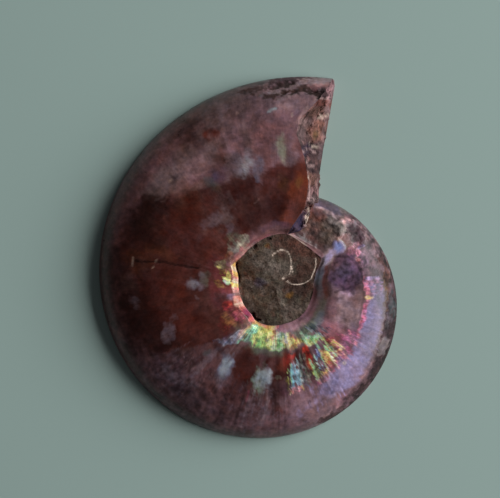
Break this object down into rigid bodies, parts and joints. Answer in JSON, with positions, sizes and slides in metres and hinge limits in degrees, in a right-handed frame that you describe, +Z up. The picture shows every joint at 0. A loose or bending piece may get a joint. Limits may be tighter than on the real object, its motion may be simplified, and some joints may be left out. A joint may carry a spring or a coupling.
{
  "type": "ammonite fossil half",
  "caption": "Half of a polished ammonite fossil, sawn flat through its plane of coiling, with a broken mouth and a stone-filled umbilicus.",
  "frame": {"origin": "middle of the bounding box's base, on the sawn face", "axes": "+Z up out of the sawn face through the convex flank, +Y along the longest extent towards the broken mouth, +X to the right seen from above"},
  "size_m": [0.0494, 0.06, 0.009],
  "materials": {
    "ammonite_shell": "polished, mottled red-brown and mauve shell with an iridescent sheen"
  },
  "bodies": {
    "root": {"ammonite_half": "ammonite_shell"}
  },
  "joints": []
}
